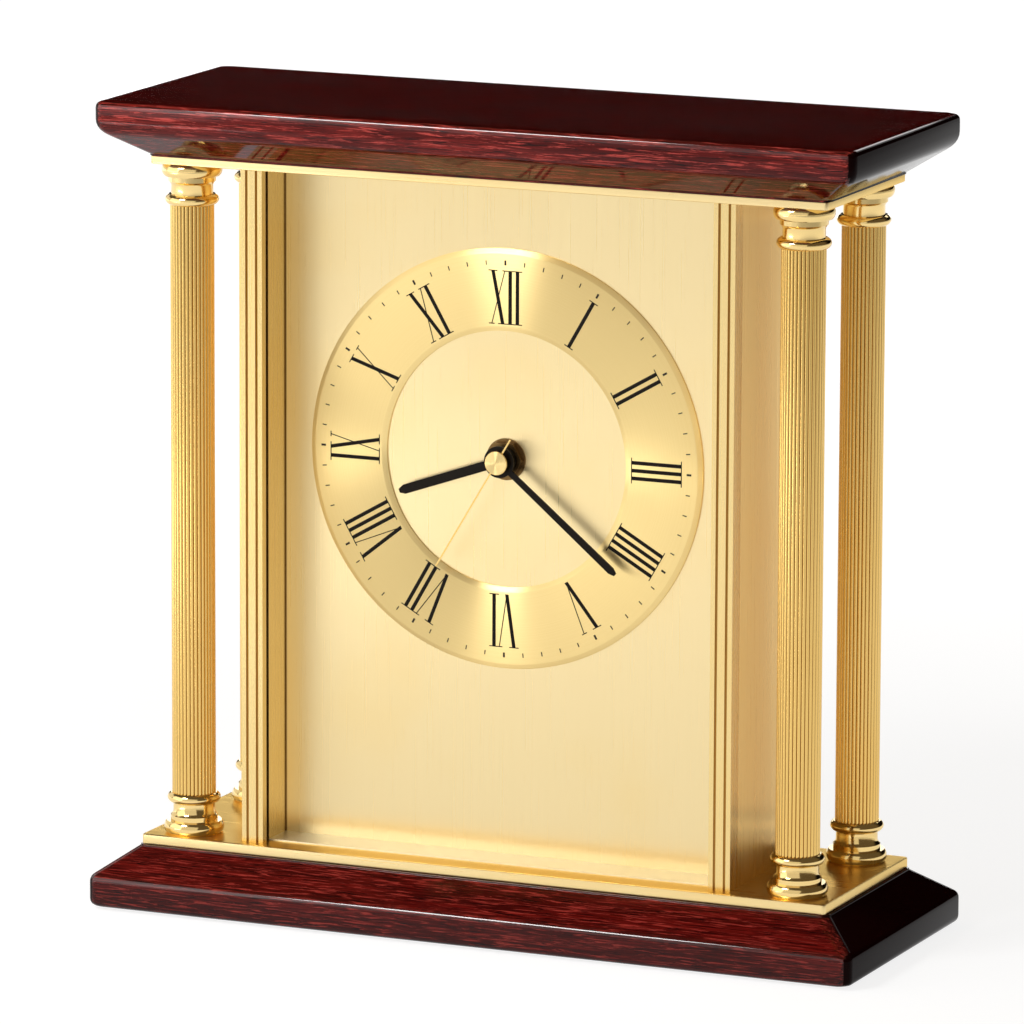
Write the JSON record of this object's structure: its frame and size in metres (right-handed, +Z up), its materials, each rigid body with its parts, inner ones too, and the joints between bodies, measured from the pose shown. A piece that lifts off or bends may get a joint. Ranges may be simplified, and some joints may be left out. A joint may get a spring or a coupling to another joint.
{
  "type": "table clock",
  "caption": "Brass and wood table clock: reeded columns between a moulded base and crown, a recessed dial with numeral ring and hands, a quartz movement and a rear door.",
  "frame": {"origin": "on the table, under the middle of the base", "axes": "+Z up, the dial faces -Y, +X to the right as seen from the front"},
  "size_m": [0.243, 0.092, 0.2421],
  "materials": {
    "rosewood": "dark red-brown, lacquered",
    "felt": "dark green felt",
    "polished_brass": "polished",
    "brushed_brass": "brushed upright",
    "spun_brass": "spun in circles",
    "black_hands": "satin black",
    "plated_steel": "zinc plated",
    "spring_steel": "nickel plated",
    "black_plastic": "moulded, satin",
    "white_plastic": "moulded",
    "copper_wire": "enamelled wire",
    "board_laminate": "lacquered",
    "cell_jacket": "plain sleeve"
  },
  "bodies": {
    "clock": {"base_block": "rosewood", "crown_block": "rosewood", "foot_pads": "felt", "lower_plate": "polished_brass", "upper_plate": "polished_brass", "column_bases": "polished_brass", "column_capitals": "polished_brass", "column_shaft_front_left": "polished_brass", "column_shaft_front_right": "polished_brass", "column_shaft_rear_left": "polished_brass", "column_shaft_rear_right": "polished_brass", "front_upright_left": "polished_brass", "front_upright_right": "polished_brass", "rear_upright_left": "polished_brass", "rear_upright_right": "polished_brass", "sill_plate": "polished_brass", "hand_washer": "polished_brass", "hand_nut": "polished_brass", "side_panel_left": "brushed_brass", "side_panel_right": "brushed_brass", "dial_plate": "brushed_brass", "chapter_ring": "spun_brass", "tie_bolts": "plated_steel", "stator": "plated_steel", "contact_positive": "spring_steel", "contact_negative": "spring_steel", "crystal": "spring_steel", "movement_front": "black_plastic", "movement_case": "black_plastic", "coil": "copper_wire", "circuit_board": "board_laminate", "cell": "cell_jacket"},
    "minute": {"minute_arbor": "polished_brass", "minute_hand": "black_hands"},
    "hour": {"hour_wheel": "white_plastic", "hour_hand": "black_hands"},
    "motion": {"motion_wheel": "white_plastic"},
    "setting": {"setting_knob": "black_plastic"},
    "second": {"second_wheel": "white_plastic", "second_hand": "spun_brass"},
    "third": {"third_wheel": "white_plastic"},
    "centre": {"centre_wheel": "white_plastic"},
    "intermediate": {"intermediate_wheel": "white_plastic"},
    "rotor_shaft": {"rotor": "white_plastic"},
    "door": {"rear_door": "brushed_brass", "door_pivots": "polished_brass", "door_knob": "polished_brass"}
  },
  "joints": [
    {"name": "minute_turn", "type": "hinge", "parent": "clock", "child": "minute", "pos_m": [0, -0.0125, 0.1401], "axis": [0, 1, 0], "continuous": true},
    {"name": "hour_turn", "type": "hinge", "parent": "clock", "child": "hour", "pos_m": [0, -0.0125, 0.1401], "axis": [0, 1, 0], "continuous": true},
    {"name": "motion_turn", "type": "hinge", "parent": "clock", "child": "motion", "pos_m": [0.006, -0.0125, 0.1401], "axis": [0, 1, 0], "continuous": true},
    {"name": "setting_turn", "type": "hinge", "parent": "clock", "child": "setting", "pos_m": [0.012, -0.0125, 0.1401], "axis": [0, 1, 0], "continuous": true},
    {"name": "second_turn", "type": "hinge", "parent": "clock", "child": "second", "pos_m": [0, -0.0125, 0.1401], "axis": [0, 1, 0], "continuous": true},
    {"name": "third_turn", "type": "hinge", "parent": "clock", "child": "third", "pos_m": [0.00425, -0.0125, 0.14746], "axis": [0, 1, 0], "continuous": true},
    {"name": "centre_turn", "type": "hinge", "parent": "clock", "child": "centre", "pos_m": [0, -0.0125, 0.1401], "axis": [0, 1, 0], "continuous": true},
    {"name": "intermediate_turn", "type": "hinge", "parent": "clock", "child": "intermediate", "pos_m": [-0.0084, -0.0125, 0.1401], "axis": [0, 1, 0], "continuous": true},
    {"name": "rotor_shaft_turn", "type": "hinge", "parent": "clock", "child": "rotor_shaft", "pos_m": [-0.01065, -0.0125, 0.144], "axis": [0, 1, 0], "continuous": true},
    {"name": "door_swing", "type": "hinge", "parent": "clock", "child": "door", "pos_m": [-0.06916, 0.0278, 0.1222], "axis": [0, 0, 1], "range_deg": [0, 100]}
  ],
  "couplings": [
    {"joint": "hour_turn", "follows": "minute_turn", "ratio": 0.083333},
    {"joint": "motion_turn", "follows": "minute_turn", "ratio": -0.33333},
    {"joint": "setting_turn", "follows": "minute_turn", "ratio": 1},
    {"joint": "third_turn", "follows": "second_turn", "ratio": -0.13333},
    {"joint": "centre_turn", "follows": "second_turn", "ratio": 0.016667},
    {"joint": "intermediate_turn", "follows": "second_turn", "ratio": -6},
    {"joint": "rotor_shaft_turn", "follows": "second_turn", "ratio": 30}
  ]
}
